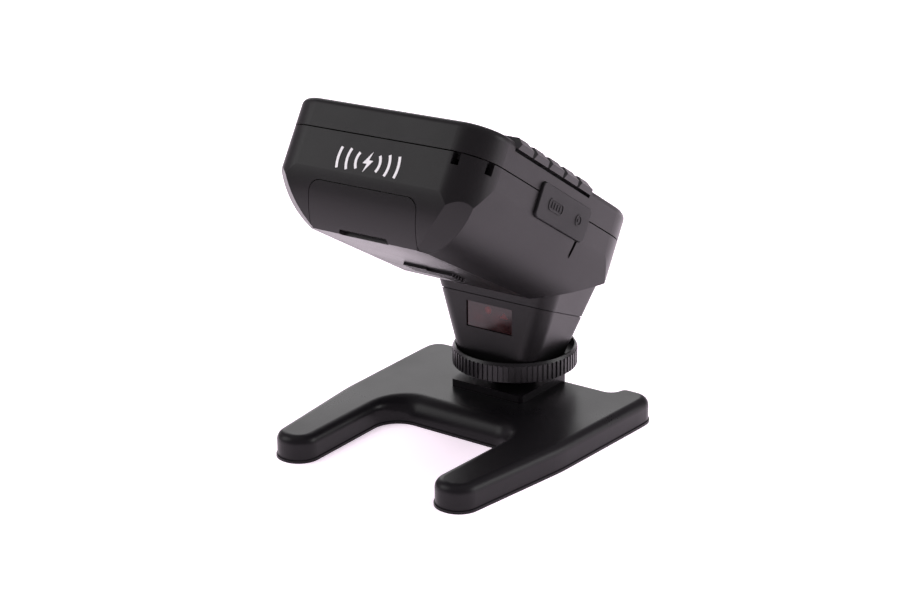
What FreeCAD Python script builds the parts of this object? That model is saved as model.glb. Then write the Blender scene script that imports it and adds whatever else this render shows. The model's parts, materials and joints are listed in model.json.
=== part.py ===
import FreeCAD, Part
import math
import os
import Sketcher

# A wireless flash trigger parked in a mini stand, in millimetres. +Z is up, -Y is the side
# that faces the subject, +X the side with the ports. The origin lies on the floor, below
# the middle of the whole object.

os.makedirs("parts", exist_ok=True)
doc = FreeCAD.newDocument("flash_trigger")
sheet = doc.addObject("Spreadsheet::Sheet", "Sizes")


class Size:
    """A number together with the spreadsheet expression that gives it."""

    def __init__(self, value, text):
        self.value, self.text = value, text

    def join(self, sign, other, value):
        return Size(value, f"({self.text} {sign} {size(other).text})")

    def __add__(self, other):
        return self.join("+", other, self.value + size(other).value)

    def __sub__(self, other):
        return self.join("-", other, self.value - size(other).value)

    def __mul__(self, other):
        return self.join("*", other, self.value * size(other).value)

    def __truediv__(self, other):
        return self.join("/", other, self.value / size(other).value)

    def __radd__(self, other):
        return size(other) + self

    def __rsub__(self, other):
        return size(other) - self

    def __rmul__(self, other):
        return size(other) * self

    def __neg__(self):
        return 0 - self


def size(number):
    return number if isinstance(number, Size) else Size(float(number), f"({float(number):.6g})")


row = 0


def cell(alias, number):
    """One driving dimension: a spreadsheet cell with a plain number and an alias."""
    global row
    row += 1
    sheet.set(f"A{row}", alias)
    sheet.set(f"B{row}", f"{number:g}")
    sheet.setAlias(f"B{row}", alias)
    return Size(float(number), f"Sizes.{alias}")


# Where the two frames stand
axis_y = cell("axis_y", 28.98)           # the shoe's axis, behind the middle of the object
seam_y = cell("seam_y", -67.0)           # front edge of the case seam, from that axis
seam_z = cell("seam_z", 101.7)
tilt = cell("tilt", 30.4)                # the case leans back by this angle

# The case, in its own frame: x across, v from the front edge to the rear, n out of the top
half_w = cell("case_half_width", 35.7)
length = cell("case_length", 95)
cover_top = cell("cover_top", 9.1)
cover_round = cell("cover_edge_radius", 2.3)
seam_gap = cell("seam_gap", 0.35)
front_r = cell("front_corner_radius", 10.7)
rear_r = cell("rear_corner_radius", 19)
wall = cell("wall", 2)
crease_n = cell("crease_depth", 11.3)    # where the front turns under
chin_v = cell("chin_run", 7.7)
chin_r = cell("chin_radius", 26)
under_n = cell("underside_front_depth", 27.3)
under_rear_n = cell("underside_rear_depth", 26)
break_v = cell("underside_break", 62.5)  # where the underside turns level with the floor
lip_n = cell("rear_lip", 6.9)
side_n = cell("side_straight", 5)
side_r = cell("side_radius", 24)
side_foot_x = cell("side_foot", 19.5)
side_foot_n = cell("side_foot_depth", 27.7)
corner_d = cell("front_corner_reach", 20.84)      # along the diagonal through the corner
corner_n = cell("front_corner_straight", 12.5)
corner_foot_d = cell("front_corner_foot", 8.6)
corner_foot_n = cell("front_corner_foot_depth", 26.5)
corner_r = cell("front_corner_under_radius", 34)

# Neck, lock ring and foot, in the floor frame around the shoe's axis
neck_low_z = cell("neck_low", 18.4)
neck_high_z = cell("neck_high", 54)
neck_low_half = cell("neck_low_half_width", 14.6)
neck_high_half = cell("neck_high_half_width", 25.8)
neck_front = cell("neck_front", 14.2)
neck_low_rear = cell("neck_low_rear", 11.2)
neck_high_rear = cell("neck_high_rear", 23)
neck_r = cell("neck_corner_radius", 5.8)
neck_wall = cell("neck_wall", 2.2)
neck_seam_z = cell("neck_seam", 40.2)    # height of the neck seam at its front
neck_seam_tilt = cell("neck_seam_tilt", 22)
neck_gap = cell("neck_gap", 0.25)
roof_y = cell("neck_roof_place", 13.4)   # where the neck's roof leaves the rear of the case
roof_z = cell("neck_roof_height", 51)
window_half = cell("window_half_width", 8.5)
window_low = cell("window_low", 29.2)
window_high = cell("window_high", 37.4)
ring_r = cell("ring_radius", 20)
ring_low = cell("ring_low", 13.4)
ring_chamfer_z = cell("ring_knurl_low", 14.9)
ring_high = cell("ring_high", 21)
ring_foot_r = cell("ring_foot_radius", 16.6)
ring_cup_r = cell("ring_cup_radius", 19)
ring_floor = cell("ring_cup_floor", 17.9)
ring_bore = cell("ring_bore_radius", 7.2)
ring_teeth = cell("ring_grooves", 72)
boss_r = cell("neck_boss_radius", 7.12)
foot_w = cell("foot_width", 18.6)        # ISO 518 accessory foot
foot_t = cell("foot_thickness", 2)
foot_l = cell("foot_length", 18)
foot_z = cell("foot_underside", 6.7)
collar_w = cell("foot_collar_width", 12.3)
pin_r = cell("lock_pin_radius", 1.1)

# The stand
stand_top = cell("stand_top", 8.2)
stand_round = cell("stand_edge_radius", 2.8)
hub_round = cell("hub_front_edge_radius", 6.4)
stand_wall = cell("stand_wall", 2.4)
lip_grow = cell("stand_lip", 0.35)
lip_h = cell("stand_lip_height", 0.8)
leg_tip_y = cell("leg_tip", 77.6)
leg_in_x = cell("leg_tip_inner", 22.8)
leg_out_x = cell("leg_tip_outer", 35.7)
gap_x = cell("gap_half_width", 24.4)
gap_y = cell("hub_front", 33.3)
bow_x = cell("bow_half_width", 41.5)
bow_y = cell("bow_place", 36)
hub_half = cell("hub_half_width", 43.5)
hub_y = cell("hub_side_place", 6)
toe_rear_y = cell("rear_toe", 15)
toe_in_x = cell("rear_toe_inner", 31.5)
hub_rear_y = cell("hub_rear", 9.8)
shoe_half = cell("shoe_half_width", 13.7)
shoe_front = cell("shoe_front", 16.2)
shoe_rear = cell("shoe_rear", 9.6)
shoe_top = cell("shoe_top", 10.7)
shoe_lip = cell("shoe_lip", 1.5)         # thickness of the rails above the slot
shoe_clear = cell("shoe_clearance", 0.15)
insert_r = cell("insert_radius", 4.2)
insert_l = cell("insert_length", 5.6)
thread_r = cell("insert_thread_radius", 2.6)

# Keys, dial, ports and batteries
key_pitch = cell("key_pitch", 8.85)
key_first = cell("first_key", 14.4)
key_len = cell("key_length", 8.2)
key_in_x = cell("key_inner", 25.4)
key_top = cell("key_top", 10.9)
key_play = cell("key_play", 0.25)
lens_half = cell("lens_half_width", 25.4)
lens_x = cell("lens_middle", -4.2)
lens_front = cell("lens_front", 9)
lens_rear = cell("lens_rear", 60)
lens_t = cell("lens_thickness", 1.2)
dial_x = cell("dial_place_x", -15)
dial_v = cell("dial_place_v", 80.5)
dial_r = cell("dial_radius", 9.4)
dial_bore = cell("dial_bore_radius", 4.8)
port_front = cell("port_cover_front", 31.8)
port_rear = cell("port_cover_rear", 61)
port_low = cell("port_cover_low", 7.1)
port_high = cell("port_cover_high", 3.6)
port_t = cell("port_pocket_depth", 1.5)
port_proud = cell("port_cover_proud", 0.9)
cell_r = cell("battery_radius", 7.1)     # AA cell, 14.2 x 50
cell_l = cell("battery_length", 48.8)
cell_v = cell("battery_place", 8.4)
cell_n = cell("battery_depth", 16.6)
door_half = cell("door_half_width", 19)
door_top_n = cell("door_top", 14.6)
door_rear = cell("door_rear", 49.5)
door_gap = cell("door_gap", 0.2)
doc.recompute()


# --- small helpers ---------------------------------------------------------------------

def bind(obj, prop, number):
    obj.setExpression(prop, size(number).text)
    return obj


def put(obj, x=0, y=0, z=0):
    for axis, number in zip("xyz", (x, y, z)):
        bind(obj, f"Placement.Base.{axis}", number)
    return obj


def box(name, x, y, z):
    """A box from three (low, high) pairs."""
    solid = doc.addObject("Part::Box", name)
    for prop, (low, high) in zip(("Length", "Width", "Height"), (x, y, z)):
        bind(solid, prop, size(high) - low)
    return put(solid, x[0], y[0], z[0])


TURNS = {
    "x": FreeCAD.Rotation(FreeCAD.Vector(0, 1, 0), 90),
    "y": FreeCAD.Rotation(FreeCAD.Vector(1, 0, 0), -90),
    "z": FreeCAD.Rotation(),
}


def rod(name, radius, height, x=0, y=0, z=0, axis="z"):
    solid = doc.addObject("Part::Cylinder", name)
    bind(solid, "Radius", radius)
    bind(solid, "Height", height)
    solid.Placement = FreeCAD.Placement(FreeCAD.Vector(), TURNS[axis])
    return put(solid, x, y, z)


def taper(name, r_low, r_high, height, x=0, y=0, z=0, axis="z"):
    solid = doc.addObject("Part::Cone", name)
    bind(solid, "Radius1", r_low)
    bind(solid, "Radius2", r_high)
    bind(solid, "Height", height)
    solid.Placement = FreeCAD.Placement(FreeCAD.Vector(), TURNS[axis])
    return put(solid, x, y, z)


def fuse(name, *solids):
    joined = doc.addObject("Part::MultiFuse", name)
    joined.Shapes = list(solids)
    return joined


def common(name, *solids):
    shared = doc.addObject("Part::MultiCommon", name)
    shared.Shapes = list(solids)
    return shared


def cut(name, base, *tools):
    left = doc.addObject("Part::Cut", name)
    left.Base = base
    left.Tool = tools[0] if len(tools) == 1 else fuse(f"{name}_tools", *tools)
    return left


def group(name, *solids):
    together = doc.addObject("Part::Compound", name)
    together.Links = list(solids)
    return together


def rounded(name, base, *picks):
    """Fillets: each pick is a radius and a test on an edge's middle and direction."""
    doc.recompute()
    filleted = doc.addObject("Part::Fillet", name)
    filleted.Base = base
    edges = []
    for radius, test in picks:
        for number, edge in enumerate(base.Shape.Edges, 1):
            first, last = edge.firstVertex(True).Point, edge.lastVertex(True).Point
            middle = edge.valueAt((edge.FirstParameter + edge.LastParameter) / 2)
            if test(middle, last - first):
                edges.append((number, size(radius).value, size(radius).value))
    if not edges:
        raise SystemExit(f"{name}: no edge to round")
    filleted.Edges = edges
    return filleted


def upright(direction):
    return abs(direction.x) < 1e-6 and abs(direction.y) < 1e-6


PLANES = {
    "xy": FreeCAD.Rotation(),
    "yz": FreeCAD.Rotation(FreeCAD.Vector(1, 1, 1), 120),
    "xz": FreeCAD.Rotation(FreeCAD.Vector(1, 0, 0), 90),
}


def outline(name, plane, points, body=None):
    """A closed sketch. A point is (a, b), or (a, b, r) where an arc of radius r leads on
    to the next one, its centre to the left for a positive r."""
    if body:
        sketch = body.newObject("Sketcher::SketchObject", name)
        role = plane.upper() + "_Plane"
        sketch.AttachmentSupport = [(next(datum for datum in body.Origin.OriginFeatures
                                          if datum.Role == role), "")]
        sketch.MapMode = "FlatFace"
    else:
        sketch = doc.addObject("Sketcher::SketchObject", name)
        sketch.Placement = FreeCAD.Placement(FreeCAD.Vector(), PLANES[plane])
    spots = [FreeCAD.Vector(size(p[0]).value, size(p[1]).value, 0) for p in points]
    for number, point in enumerate(points):
        start, end = spots[number], spots[(number + 1) % len(spots)]
        if len(point) < 3:
            sketch.addGeometry(Part.LineSegment(start, end), False)
            continue
        radius = size(point[2]).value
        half = (end - start) / 2
        side = FreeCAD.Vector(-half.y, half.x, 0).normalize()
        reach = math.copysign(math.sqrt(radius**2 - half.Length**2), radius)
        centre = start + half + side * reach
        bulge = centre - side * radius
        sketch.addGeometry(Part.ArcOfCircle(start, bulge, end), False)
    ends = []
    for number, point in enumerate(points):
        flipped = len(point) == 3 and size(point[2]).value < 0
        ends.append((2, 1) if flipped else (1, 2))
    for number, point in enumerate(points):
        after = (number + 1) % len(points)
        sketch.addConstraint(Sketcher.Constraint(
            "Coincident", number, ends[number][1], after, ends[after][0]))
    for number, point in enumerate(points):
        spot = spots[number]
        for kind, value, number_or_size in (("DistanceX", spot.x, point[0]),
                                            ("DistanceY", spot.y, point[1])):
            index = sketch.addConstraint(Sketcher.Constraint(
                kind, -1, 1, number, ends[number][0], value))
            constraint = f"p{number}{kind[-1].lower()}"
            sketch.renameConstraint(index, constraint)
            bind(sketch, f"Constraints.{constraint}", number_or_size)
        if len(point) == 3:
            index = sketch.addConstraint(Sketcher.Constraint(
                "Radius", number, abs(size(point[2]).value)))
            sketch.renameConstraint(index, f"r{number}")
            bind(sketch, f"Constraints.r{number}",
                 point[2] if size(point[2]).value > 0 else -size(point[2]))
    return sketch


def extrude(name, sketch, low, high):
    """The sketch swept along its normal from low to high."""
    solid = doc.addObject("Part::Extrusion", name)
    solid.Base = sketch
    solid.DirMode = "Normal"
    solid.Solid = True
    bind(solid, "LengthFwd", high)
    bind(solid, "LengthRev", -size(low))
    return solid


nodes = []


def node(label, frame, solid):
    """Names a finished piece and moves it into its frame: the case's, or the shoe axis's."""
    held = group(f"{label}_piece", solid)
    held.Label = label
    if frame == "case":
        turn = FreeCAD.Rotation(FreeCAD.Vector(1, 0, 0), -tilt.value)
        held.Placement = FreeCAD.Placement(FreeCAD.Vector(), turn)
        bind(held, "Placement.Rotation.Angle", -tilt)
        put(held, 0, axis_y + seam_y, seam_z)
    else:
        put(held, 0, axis_y, 0)
    nodes.append(held)
    return held


# --- the case ---------------------------------------------------------------------------

def plan(name, inset, low, high):
    """The case's outline seen from above, pulled in by inset."""
    block = box(name + "_block", (inset - half_w, half_w - inset),
                (inset, length - inset), (low, high))
    middle = length.value / 2
    return rounded(name, block,
                   (front_r - inset, lambda spot, way: upright(way) and spot.y < middle),
                   (rear_r - inset, lambda spot, way: upright(way) and spot.y > middle))


def corner_bar(name, inset, turn):
    """What a front corner of the lower half keeps: straight, then curving in underneath.
    The sketch is drawn along the corner's diagonal, so the bar is turned by 45 or 135."""
    far = 90
    shape = outline(name + "_corner", "xz", [
        (corner_d - inset, 8), (-far, 8), (-far, -34), (-1 - inset, -34),
        (corner_foot_d - inset * 0.54, inset * 0.84 - corner_foot_n, corner_r - inset),
        (corner_d - inset, inset * 0.2 - corner_n)])
    bar = group(name + "_bar", extrude(name + "_prism", shape, -far, far))
    bar.Placement = FreeCAD.Placement(FreeCAD.Vector(), FreeCAD.Rotation(FreeCAD.Vector(0, 0, 1), turn))
    return bar


def hull(name, inset):
    """The lower half of the case, pulled in by inset: its plan, section and profile."""
    top = inset * 2                      # the inner hull stands out of the seam
    out = 3                              # how far the section and profile overreach the plan
    clear = 0.03                         # keeps the side arcs from just touching the plan's walls
    section = outline(name + "_section", "xz", [
        (half_w + out, top + out), (half_w + out, -side_n),
        (half_w - inset + clear, -side_n, inset - side_r),
        (side_foot_x - inset * 0.4, inset - side_foot_n),
        (inset * 0.4 - side_foot_x, inset - side_foot_n, inset - side_r),
        (inset - half_w - clear, -side_n), (-half_w - out, -side_n), (-half_w - out, top + out)])
    rise = math.tan(math.radians(tilt.value))
    profile = outline(name + "_profile", "yz", [
        (-out, top + out), (-out, -crease_n), (inset, -crease_n, chin_r - inset),
        (chin_v + inset * 0.4, inset - under_n), (break_v - inset * 0.5, inset - under_rear_n),
        (length + out, inset * 1.2 - lip_n + out * rise), (length + out, top + out)])
    across = extrude(name + "_across", section, -length - out, out)
    along = extrude(name + "_along", profile, -half_w - 2 * out, half_w + 2 * out)
    bars = [corner_bar(f"{name}_{label}", inset, turn) for label, turn in (("right", -45), ("left", -135))]
    return common(name, common(name + "_bar", across, along), *bars,
                  plan(name + "_plan", inset, -40, top))


def neck(name, inset):
    """The tapered neck, in the floor frame, pulled in by inset."""
    block_low, block_high = [
        rounded(f"{name}_{end}", box(f"{name}_{end}_block", (inset - half, half - inset),
                                     (inset - neck_front, rear - inset), (place, place + 1)),
                (neck_r - inset, lambda spot, way: upright(way)))
        for end, half, rear, place in (
            ("low", neck_low_half, neck_low_rear, neck_low_z),
            ("high", neck_high_half, neck_high_rear, neck_high_z))]
    doc.recompute()
    rings = []
    for end, block in (("low", block_low), ("high", block_high)):
        ring = doc.addObject("Part::Feature", f"{name}_{end}_ring")
        floor_face = min(block.Shape.Faces, key=lambda face: face.CenterOfMass.z)
        ring.Shape = floor_face.OuterWire
        rings.append(ring)
    tapered = doc.addObject("Part::Loft", f"{name}_loft")
    tapered.Sections = rings
    tapered.Solid = True
    tapered.Ruled = True
    return tapered


def tilted_side(name, y, z, tilt, low, high):
    """A slab that slopes down to the rear by tilt; low and high are heights above (y, z)."""
    moved = group(name, box(name + "_block", (-40, 40), (-40, 60), (low, high)))
    turn = FreeCAD.Rotation(FreeCAD.Vector(1, 0, 0), -size(tilt).value)
    moved.Placement = FreeCAD.Placement(FreeCAD.Vector(), turn)
    bind(moved, "Placement.Rotation.Angle", -size(tilt))
    return put(moved, 0, y, z)


def from_floor(name, solid):
    """A solid of the floor frame, carried into the case's own frame."""
    moved = group(name, solid)
    turn = FreeCAD.Rotation(FreeCAD.Vector(1, 0, 0), tilt.value)
    angle = math.radians(tilt.value)
    back = FreeCAD.Vector(0, -seam_y.value, -seam_z.value)
    moved.Placement = FreeCAD.Placement(turn.multVec(back), turn)
    return moved


def door_space(name, grow):
    """The battery door's reach: rounded at the front's upper corners and at the rear."""
    block = box(name + "_block", (-door_half - grow, door_half + grow),
                (-4, door_rear + grow), (-35, grow - door_top_n))
    top = size(grow).value - door_top_n.value
    return rounded(
        name, block,
        (3.5, lambda spot, way: abs(way.x) + abs(way.z) < 1e-6 and abs(spot.z - top) < 1e-3),
        (4, lambda spot, way: upright(way) and spot.y > 20))


def key_slot(name, x, v, grow):
    return box(name, (x[0] - grow, x[1] + grow), (v[0] - grow, v[1] + grow), (5.9, 14))


small_keys = {                            # name: (x, v, half width, half length)
    "mode_key": (19.6, 75, 4.6, 2.2),
    "zoom_key": (7, 75, 4.6, 2.2),
    "convert_key": (7, 84, 4.6, 2.2),
    "test_key": (19.6, 84, 3, 3),
}
for number in range(4):
    small_keys[f"function_key_{number + 1}"] = (lens_x + 13 * (number - 1.5), 65.6, 4.9, 2.1)

outer = hull("outer", 0)
inner = hull("inner", wall)
neck_seam = (-neck_front, neck_seam_z, neck_seam_tilt)
stub = from_floor("stub", common(
    "stub_above", neck("stub_neck", 0), tilted_side("stub_seam", *neck_seam, 0, 40),
    tilted_side("stub_roof", roof_y, roof_z, 45, -60, 0)))
passage = from_floor("passage", common(
    "passage_part", neck("passage_neck", neck_wall),
    tilted_side("passage_roof", roof_y, roof_z, 45, -60, -neck_wall)))
port_reach = (half_w - port_t, half_w + 5)

switches = {                              # name: (middle v, half travel, half knob length)
    "power_switch": (36, 2.5, 3.2),
    "af_switch": (56, 2.5, 3.2),
}
switch_n = -5.5
switch_tools = [
    box(f"{name}_slot", (-half_w - 1, -half_w + 3.2), (v - half - reach - 0.3, v + half + reach + 0.3),
        (switch_n - 1.9, switch_n + 1.9))
    for name, (v, half, reach) in switches.items()]
sockets = {                               # name: (middle v, half width, half height)
    "usb_socket": (41.3, 4.9, 2.2),
    "sync_jack": (54.8, 2.9, 2.9),
}
socket_n = -1.75
socket_tools = [
    box(f"{name}_hole", (half_w - 6, half_w + 1), (v - half - 0.15, v + half + 0.15),
        (socket_n - high - 0.15, socket_n + high + 0.15))
    for name, (v, half, high) in sockets.items()]
port_corner = 1.7


def along_x(spot, way):
    return abs(way.y) + abs(way.z) < 1e-6


port_pocket = rounded("port_pocket", box("port_pocket_block", port_reach, (port_front, port_rear),
                                         (-port_low, port_high)), (port_corner, along_x))
nail_notch = box("nail_notch", (half_w - 1.2, half_w + 1),
                 (port_rear - 3.4, port_rear - 2.2), (-port_low - 5.4, -port_low))
strap_slots = [
    box("strap_slot_front", (half_w - 9.4, half_w - 7.2), (-1, wall + 2), (-3.4, 0.1)),
    box("strap_slot_side", (half_w - wall - 2, half_w + 1), (5.4, 7.6), (-3.4, 0.1))]
case_pillars = [(side * 27.2, 81) for side in (-1, 1)]
pillars = [rod(f"pillar_{number}", 3.4, 30, x, v, -30) for number, (x, v) in enumerate(case_pillars)]
pillar_holes = [rod(f"pillar_hole_{number}", 1.15, 60, x, v, -50)
                for number, (x, v) in enumerate(case_pillars)]
screw_wells = [rod(f"screw_well_{number}", 2.3, 40, x, v, -45.6)
               for number, (x, v) in enumerate(case_pillars)]
lower_body = fuse("lower_body", cut("lower_open", fuse("lower_solid", outer, stub), inner, passage),
                  common("lower_pillars", outer, fuse("all_pillars", *pillars)))
lower_shell = cut("lower_cut", lower_body, door_space("door_hole", door_gap), port_pocket,
                  nail_notch, *socket_tools, *switch_tools, *strap_slots, *pillar_holes,
                  *screw_wells)
node("lower_shell", "case", lower_shell)

cover_block = rounded("cover_block", plan("cover_plan", 0, seam_gap, cover_top),
                      (cover_round, lambda spot, way: abs(spot.z - cover_top.value) < 1e-3))
cover_lip = cut("cover_lip", fuse("lip_band", plan("lip_low", wall + 0.15, -1.4, 1.2),
                                  plan("lip_high", wall - 0.2, seam_gap, 1.2)),
                plan("lip_inner", wall + 1.1, -2, 2))
lens_recess = box("lens_recess", (lens_x - lens_half, lens_x + lens_half),
                  (lens_front, lens_rear), (cover_top - lens_t - 0.1, cover_top + 1))
lens_open = box("lens_open", (lens_x - lens_half + 2.5, lens_x + lens_half - 2.5),
                (lens_front + 2.5, lens_rear - 2.5), (cover_top - 5, cover_top + 1))
key_row = key_slot("key_row", (key_in_x, half_w + 4),
                   (key_first, key_first + key_pitch * 4 + key_len), key_play)
key_floor = box("key_floor", (half_w - wall, half_w + 5), (0, length), (5, 6.2))
key_notch = cut("key_notch", key_row, key_floor)
small_holes = [
    key_slot(f"{name}_hole", (x - half, x + half), (v - reach, v + reach), key_play)
    for name, (x, v, half, reach) in small_keys.items()]
dial_hole = rod("dial_hole", dial_r + 0.3, 6, dial_x, dial_v, cover_top - 4)
lamp_place = (13.3, 90.2)
lamp_hole = rod("lamp_hole", 1.25, 12, *lamp_place, 0)
cover_posts = cut("cover_posts", fuse("post_row", *[
    rod(f"post_{number}", 2.2, 7.4, x, v, seam_gap) for number, (x, v) in enumerate(case_pillars)]),
    *[rod(f"post_hole_{number}", 0.95, 6.4, x, v, 0) for number, (x, v) in enumerate(case_pillars)])
cover = cut("cover_cut", fuse("cover_solid", cut("cover_open", cover_block,
                              plan("cover_inside", wall, -2, cover_top - wall)), cover_lip,
                              cover_posts),
            lens_recess, lens_open, key_notch, *small_holes, dial_hole, lamp_hole, port_pocket,
            box("lip_port_gap", (half_w - 7, half_w - 1.5), (36, 59), (-3, 1.2)))
node("upper_cover", "case", cover)


def retained(name, x, v, half, reach, low, high, edge=0.5):
    """A key cap with a flange that keeps it under the cover."""
    cap = rounded(f"{name}_cap", box(f"{name}_block", (x - half, x + half), (v - reach, v + reach),
                                     (low, high)),
                  (edge, lambda spot, way: abs(spot.z - size(high).value) < 1e-3))
    flange = box(f"{name}_flange", (x - half - 0.8, x + half + 0.8),
                 (v - reach - 0.8, v + reach + 0.8), (low, low + 1))
    return fuse(name + "_solid", cap, flange)


flange_n = 5.9
for name, (x, v, half, reach) in small_keys.items():
    node(name, "case", retained(name, size(x), size(v), half, reach, flange_n, cover_top + 0.7))

for number in range(1, 6):
    v = key_first + key_pitch * (number - 1)
    side_face = half_w + 0.6
    wedge = outline(f"group_key_{number}_shape", "xz", [
        (key_in_x, flange_n), (33.2, flange_n), (33.2, 7.05), (side_face, 7.05),
        (side_face, 8.9), (33.4, key_top), (28, key_top), (key_in_x, key_top - 0.7)])
    prism = extrude(f"group_key_{number}_prism", wedge, -v - key_len, -v)
    ramp = outline(f"group_key_{number}_ramp", "yz", [
        (v - 1, key_top + 1), (v - 1, 7.1), (v + 0.3, 7.1), (v + 3.6, key_top + 1)])
    flange = box(f"group_key_{number}_flange", (key_in_x - 0.8, key_in_x + 1),
                 (v + 0.4, v + key_len - 0.4), (flange_n, flange_n + 1))
    node(f"group_key_{number}", "case", fuse(
        f"group_key_{number}_solid",
        cut(f"group_key_{number}_cut", prism, extrude(f"group_key_{number}_wedge", ramp, 20, 40)),
        flange))


def grooved(name, points, count, radius, depth, width, start, upwards):
    """A turned body with grooves all round its rim, from start upwards or downwards."""
    body = doc.addObject("PartDesign::Body", name)
    turned = body.newObject("PartDesign::Revolution", f"{name}_turned")
    turned.Profile = outline(f"{name}_half", "xz", points, body)
    turned.ReferenceAxis = (turned.Profile[0], ["V_Axis"])
    turned.Angle = 360
    doc.recompute()
    groove = body.newObject("PartDesign::Pocket", f"{name}_groove")
    groove.Profile = outline(f"{name}_slot", "xy", [
        (radius - depth, -width / 2), (radius + 1, -width / 2), (radius + 1, width / 2),
        (radius - depth, width / 2)], body)
    groove.Profile[0].AttachmentOffset = FreeCAD.Placement(
        FreeCAD.Vector(0, 0, size(start).value), FreeCAD.Rotation())
    bind(groove.Profile[0], ".AttachmentOffset.Base.z", start)
    groove.Reversed = upwards
    groove.Length = 30
    doc.recompute()
    pattern = body.newObject("PartDesign::PolarPattern", f"{name}_pattern")
    pattern.Originals = [groove]
    pattern.Axis = (turned.Profile[0], ["V_Axis"])
    pattern.Angle = 360
    bind(pattern, "Occurrences", count)
    body.Tip = pattern
    doc.recompute()
    if not groove.Shape.Volume < turned.Shape.Volume - 0.1:
        raise SystemExit(f"{name}: the groove cuts nothing")
    return body


key_board_top = 2.1
dial_turned = grooved("dial_body", [
    (dial_bore, 0), (dial_r, 0), (dial_r, 4), (dial_r - 0.8, 4.8), (5.7, 4.8),
    (dial_bore, 4.2)], 48, dial_r, 0.35, 0.6, 2.6, True)
put(dial_turned, dial_x, dial_v, 5.7)
node("select_dial", "case", dial_turned)
set_cap = rounded("set_cap", rod("set_block", 4.2, 4.3, dial_x, dial_v, 6.1),
                  (0.6, lambda spot, way: spot.z > 10.3))
node("set_key", "case", fuse("set_solid", set_cap, rod("set_stem", 1.5, 1.4, dial_x, dial_v, 5)))
node("dial_encoder", "case", cut(
    "encoder_cut", rod("encoder_can", 6.2, 2.3, dial_x, dial_v, key_board_top),
    rod("encoder_bore", 2, 2, dial_x, dial_v, key_board_top + 1)))

# --- doors and sliders on the case ------------------------------------------------------

door_shell = cut("door_shell", hull("door_outer", 0), hull("door_inner", wall))
nail_slot = rounded("nail_slot", box("nail_slot_block", (-8.7, 8.7), (6.6, 8.9), (-30, -26.1)),
                    (0.9, lambda spot, way: upright(way)))
rib_pitch = 1.6
grip_ribs = [box(f"grip_rib_{label}_{number}", across,
                 (first + rib_pitch * number, first + rib_pitch * number + 0.7), (-27.4, -25))
             for label, across, first in (("left", (-8.4, 0.1), 40.4), ("right", (0, 8.4), 42))
             for number in range(5)]
hooks = []
for side in (-1, 1):
    across = (side * 14 - 2.5, side * 14 + 2.5)
    label = "left" if side < 0 else "right"
    hooks += [box(f"hook_root_{label}", across, (door_rear - 3, door_rear - 0.4), (-25, -22.9)),
              box(f"hook_tip_{label}", across, (door_rear - 1, door_rear + 1.6), (-23.9, -22.9))]
door_plate = common("door_plate", door_shell, door_space("door_reach", 0))
node("battery_door", "case", fuse("door_solid", cut("door_cut", door_plate, nail_slot),
                                  *grip_ribs, *hooks))

for name, (middle, half, reach) in switches.items():
    v = middle - half
    knob = rounded(f"{name}_knob", box(f"{name}_block", (-half_w - 0.8, -33.1),
                                       (v - reach, v + reach), (switch_n - 1.6, switch_n + 1.6)),
                   (0.4, lambda spot, way: spot.x < -36.4))
    node(name, "case", fuse(f"{name}_solid", knob, box(
        f"{name}_flange", (-33.25, -32.5), (v - reach - 1, v + reach + 1),
        (switch_n - 2.2, switch_n + 2.2))))
node("switch_bodies", "case", group("switch_group", *[
    box(f"{name}_body", (-32.1, -28.6), (v - 5, v + 5), (switch_n - 2, switch_n + 1.4))
    for name, (v, half, reach) in switches.items()]))

board_top = -3.95
flap_gap = 0.15
flap_plain = rounded("flap_plain", box("flap_block", (half_w - 1.15, half_w + port_proud),
                                       (port_front + flap_gap, port_rear - flap_gap),
                                       (flap_gap - port_low, port_high - flap_gap)),
                     (port_corner - flap_gap, along_x))
flap = rounded("flap", flap_plain,
               (0.35, lambda spot, way: spot.x > half_w.value + port_proud.value - 0.05))
usb_v, jack_v = sockets["usb_socket"][0], sockets["sync_jack"][0]
node("port_cover", "case", fuse(
    "port_cover_solid", flap,
    box("usb_nub", (half_w - 2.5, half_w - 1), (usb_v - 3, usb_v + 3), (socket_n - 0.6, socket_n + 0.6)),
    rod("jack_nub", 0.85, 1.5, half_w - 2.5, jack_v, socket_n, "x")))
node("usb_socket", "case", cut(
    "usb_cut", box("usb_block", (half_w - 8.5, half_w - 1.7), (usb_v - 4.6, usb_v + 4.6),
                   (board_top, socket_n + 1.75)),
    box("usb_mouth", (half_w - 7.5, half_w), (usb_v - 4.1, usb_v + 4.1),
        (socket_n - 1.25, socket_n + 1.25))))
node("sync_jack", "case", cut(
    "jack_cut", box("jack_block", (half_w - 9.5, half_w - 1.7), (jack_v - 2.7, jack_v + 2.7),
                    (board_top, socket_n + 2.2)),
    rod("jack_mouth", 1.35, 12, half_w - 9, jack_v, socket_n, "x")))

# --- inside the case ----------------------------------------------------------------------

node("main_board", "case", fuse(
    "board", box("board_main", (-26.5, 25.5), (14, 72.5), (board_top - 1.2, board_top)),
    box("board_tongue", (20, 33), (34, 60), (board_top - 1.2, board_top))))
node("key_board", "case", cut(
    "upper_board", rounded("upper_board_plain", box(
        "upper_board_block", (-30, 32.6), (12, 91), (key_board_top - 1.2, key_board_top)),
        (15, lambda spot, way: upright(way) and spot.y > 60)),
    *[rod(f"upper_board_hole_{number}", 2.6, 6, x, v, -1) for number, (x, v) in enumerate(case_pillars)]))
node("rf_shield", "case", box("shield", (-22, -6), (38, 58), (board_top, board_top + 2)))
node("processor", "case", box("chip", (2, 12), (40, 50), (board_top, board_top + 1.1)))
node("antenna_strip", "case", box("antenna", (-16, 14), (66.5, 70.5), (board_top, board_top + 0.8)))
node("buzzer", "case", rod("buzzer_can", 4.5, 3, 17, 61, board_top))
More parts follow.
